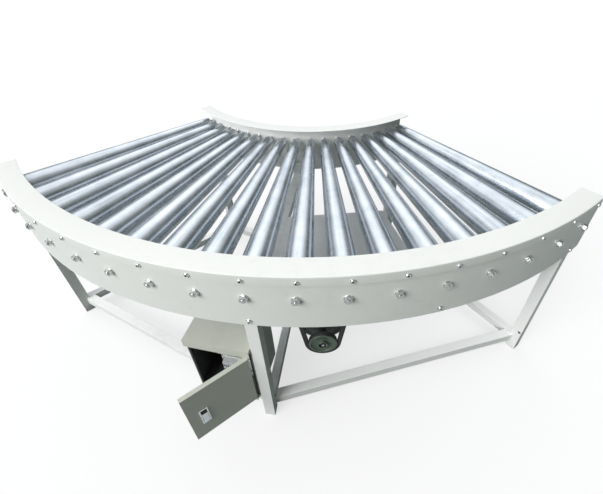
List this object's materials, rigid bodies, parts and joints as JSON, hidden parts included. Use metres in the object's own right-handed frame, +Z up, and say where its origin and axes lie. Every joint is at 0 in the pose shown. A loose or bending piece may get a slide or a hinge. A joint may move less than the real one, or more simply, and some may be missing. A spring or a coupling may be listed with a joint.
{
  "type": "powered roller conveyor curve",
  "caption": "Ninety degree roller conveyor curve on legs: tapered steel rollers between two curved rails, driven by a belt from a gearmotor, with a control cabinet.",
  "frame": {"origin": "on the floor under the middle of the bounding box", "axes": "+X along the curve's width from its left end to its right end, -Y towards the wide outer rail, +Z up"},
  "size_m": [1.9832, 1.1292, 0.732],
  "materials": {
    "frame_paint": "off-white powder coat, satin",
    "zinc_steel": "bright zinc plate, fine turning marks",
    "fastener_zinc": "zinc plated, slightly dull",
    "cabinet_grey": "warm grey powder coat, satin",
    "drive_green": "dark green machine enamel on castings",
    "belt_rubber": "matt black rubber",
    "latch_chrome": "bright plated",
    "relay_plastic": "pale grey moulded plastic on a galvanised plate"
  },
  "bodies": {
    "frame": {"outer_rail": "frame_paint", "inner_rail": "frame_paint", "outer_cover": "frame_paint", "inner_cover": "frame_paint", "axle_01": "fastener_zinc", "axle_02": "fastener_zinc", "axle_03": "fastener_zinc", "axle_04": "fastener_zinc", "axle_05": "fastener_zinc", "axle_06": "fastener_zinc", "axle_07": "fastener_zinc", "axle_08": "fastener_zinc", "axle_09": "fastener_zinc", "axle_10": "fastener_zinc", "axle_11": "fastener_zinc", "axle_12": "fastener_zinc", "axle_13": "fastener_zinc", "axle_14": "fastener_zinc", "axle_15": "fastener_zinc", "axle_16": "fastener_zinc", "axle_17": "fastener_zinc", "leg_outer_left": "frame_paint", "leg_outer_centre": "frame_paint", "leg_outer_right": "frame_paint", "leg_inner_left": "frame_paint", "leg_inner_centre": "frame_paint", "leg_inner_right": "frame_paint", "foot_bar_left": "frame_paint", "foot_bar_centre": "frame_paint", "foot_bar_right": "frame_paint", "chord_bar_outer_left": "frame_paint", "chord_bar_outer_right": "frame_paint", "chord_bar_inner_left": "frame_paint", "chord_bar_inner_right": "frame_paint", "cross_tie": "frame_paint", "motor_bracket": "frame_paint", "gearmotor": "drive_green", "drive_belt": "belt_rubber", "cabinet_box": "cabinet_grey", "mounting_plate": "relay_plastic"},
    "roller_01": {"roller_01": "zinc_steel"},
    "roller_02": {"roller_02": "zinc_steel"},
    "roller_03": {"roller_03": "zinc_steel"},
    "roller_04": {"roller_04": "zinc_steel"},
    "roller_05": {"roller_05": "zinc_steel"},
    "roller_06": {"roller_06": "zinc_steel"},
    "roller_07": {"roller_07": "zinc_steel"},
    "roller_08": {"roller_08": "zinc_steel"},
    "roller_09": {"roller_09": "zinc_steel"},
    "roller_10": {"roller_10": "zinc_steel"},
    "roller_11": {"roller_11": "zinc_steel"},
    "roller_12": {"roller_12": "zinc_steel"},
    "roller_13": {"roller_13": "zinc_steel"},
    "roller_14": {"roller_14": "zinc_steel"},
    "roller_15": {"roller_15": "zinc_steel"},
    "roller_16": {"roller_16": "zinc_steel"},
    "roller_17": {"roller_17": "zinc_steel"},
    "pulley": {"drive_pulley": "drive_green"},
    "door": {"cabinet_door": "cabinet_grey"},
    "latch": {"door_latch": "latch_chrome"}
  },
  "joints": [
    {"name": "roller_01_spin", "type": "hinge", "parent": "frame", "child": "roller_01", "pos_m": [-0.67925, 0.24001, 0.66231], "axis": [-0.6734, -0.7386, -0.0314], "continuous": true},
    {"name": "roller_02_spin", "type": "hinge", "parent": "frame", "child": "roller_02", "pos_m": [-0.60761, 0.18051, 0.66231], "axis": [-0.6023, -0.7976, -0.0314], "continuous": true},
    {"name": "roller_03_spin", "type": "hinge", "parent": "frame", "child": "roller_03", "pos_m": [-0.53077, 0.12788, 0.66231], "axis": [-0.5262, -0.8498, -0.0314], "continuous": true},
    {"name": "roller_04_spin", "type": "hinge", "parent": "frame", "child": "roller_04", "pos_m": [-0.44942, 0.08256, 0.66231], "axis": [-0.4455, -0.8947, -0.0314], "continuous": true},
    {"name": "roller_05_spin", "type": "hinge", "parent": "frame", "child": "roller_05", "pos_m": [-0.36422, 0.04495, 0.66231], "axis": [-0.3611, -0.932, -0.0314], "continuous": true},
    {"name": "roller_06_spin", "type": "hinge", "parent": "frame", "child": "roller_06", "pos_m": [-0.27592, 0.01535, 0.66231], "axis": [-0.2735, -0.9614, -0.0314], "continuous": true},
    {"name": "roller_07_spin", "type": "hinge", "parent": "frame", "child": "roller_07", "pos_m": [-0.18527, -0.00597, 0.66231], "axis": [-0.1837, -0.9825, -0.0314], "continuous": true},
    {"name": "roller_08_spin", "type": "hinge", "parent": "frame", "child": "roller_08", "pos_m": [-0.09303, -0.01884, 0.66231], "axis": [-0.0922, -0.9952, -0.0314], "continuous": true},
    {"name": "roller_09_spin", "type": "hinge", "parent": "frame", "child": "roller_09", "pos_m": [0, -0.02314, 0.66231], "axis": [0, -0.9995, -0.0314], "continuous": true},
    {"name": "roller_10_spin", "type": "hinge", "parent": "frame", "child": "roller_10", "pos_m": [0.09303, -0.01884, 0.66231], "axis": [0.0922, -0.9952, -0.0314], "continuous": true},
    {"name": "roller_11_spin", "type": "hinge", "parent": "frame", "child": "roller_11", "pos_m": [0.18527, -0.00597, 0.66231], "axis": [0.1837, -0.9825, -0.0314], "continuous": true},
    {"name": "roller_12_spin", "type": "hinge", "parent": "frame", "child": "roller_12", "pos_m": [0.27592, 0.01535, 0.66231], "axis": [0.2735, -0.9614, -0.0314], "continuous": true},
    {"name": "roller_13_spin", "type": "hinge", "parent": "frame", "child": "roller_13", "pos_m": [0.36422, 0.04495, 0.66231], "axis": [0.3611, -0.932, -0.0314], "continuous": true},
    {"name": "roller_14_spin", "type": "hinge", "parent": "frame", "child": "roller_14", "pos_m": [0.44942, 0.08256, 0.66231], "axis": [0.4455, -0.8947, -0.0314], "continuous": true},
    {"name": "roller_15_spin", "type": "hinge", "parent": "frame", "child": "roller_15", "pos_m": [0.53077, 0.12788, 0.66231], "axis": [0.5262, -0.8498, -0.0314], "continuous": true},
    {"name": "roller_16_spin", "type": "hinge", "parent": "frame", "child": "roller_16", "pos_m": [0.60761, 0.18051, 0.66231], "axis": [0.6023, -0.7976, -0.0314], "continuous": true},
    {"name": "roller_17_spin", "type": "hinge", "parent": "frame", "child": "roller_17", "pos_m": [0.67925, 0.24001, 0.66231], "axis": [0.6734, -0.7386, -0.0314], "continuous": true},
    {"name": "pulley_spin", "type": "hinge", "parent": "frame", "child": "pulley", "pos_m": [0.19079, -0.38264, 0.438], "axis": [0.1382, -0.9904, 0], "continuous": true},
    {"name": "door_hinge", "type": "hinge", "parent": "frame", "child": "door", "pos_m": [-0.02735, -0.42124, 0.254], "axis": [0, 0, 1], "range_deg": [-49.2, 60.8]},
    {"name": "latch_paddle", "type": "hinge", "parent": "door", "child": "latch", "pos_m": [-0.14427, -0.53338, 0.21], "axis": [0.723, 0.6909, 0], "range_deg": [0, 60]}
  ],
  "couplings": [
    {"joint": "roller_01_spin", "follows": "roller_10_spin", "ratio": 1},
    {"joint": "roller_02_spin", "follows": "roller_10_spin", "ratio": 1},
    {"joint": "roller_03_spin", "follows": "roller_10_spin", "ratio": 1},
    {"joint": "roller_04_spin", "follows": "roller_10_spin", "ratio": 1},
    {"joint": "roller_05_spin", "follows": "roller_10_spin", "ratio": 1},
    {"joint": "roller_06_spin", "follows": "roller_10_spin", "ratio": 1},
    {"joint": "roller_07_spin", "follows": "roller_10_spin", "ratio": 1},
    {"joint": "roller_08_spin", "follows": "roller_10_spin", "ratio": 1},
    {"joint": "roller_09_spin", "follows": "roller_10_spin", "ratio": 1},
    {"joint": "roller_11_spin", "follows": "roller_10_spin", "ratio": 1},
    {"joint": "roller_12_spin", "follows": "roller_10_spin", "ratio": 1},
    {"joint": "roller_13_spin", "follows": "roller_10_spin", "ratio": 1},
    {"joint": "roller_14_spin", "follows": "roller_10_spin", "ratio": 1},
    {"joint": "roller_15_spin", "follows": "roller_10_spin", "ratio": 1},
    {"joint": "roller_16_spin", "follows": "roller_10_spin", "ratio": 1},
    {"joint": "roller_17_spin", "follows": "roller_10_spin", "ratio": 1},
    {"joint": "pulley_spin", "follows": "roller_10_spin", "ratio": 0.3653}
  ]
}
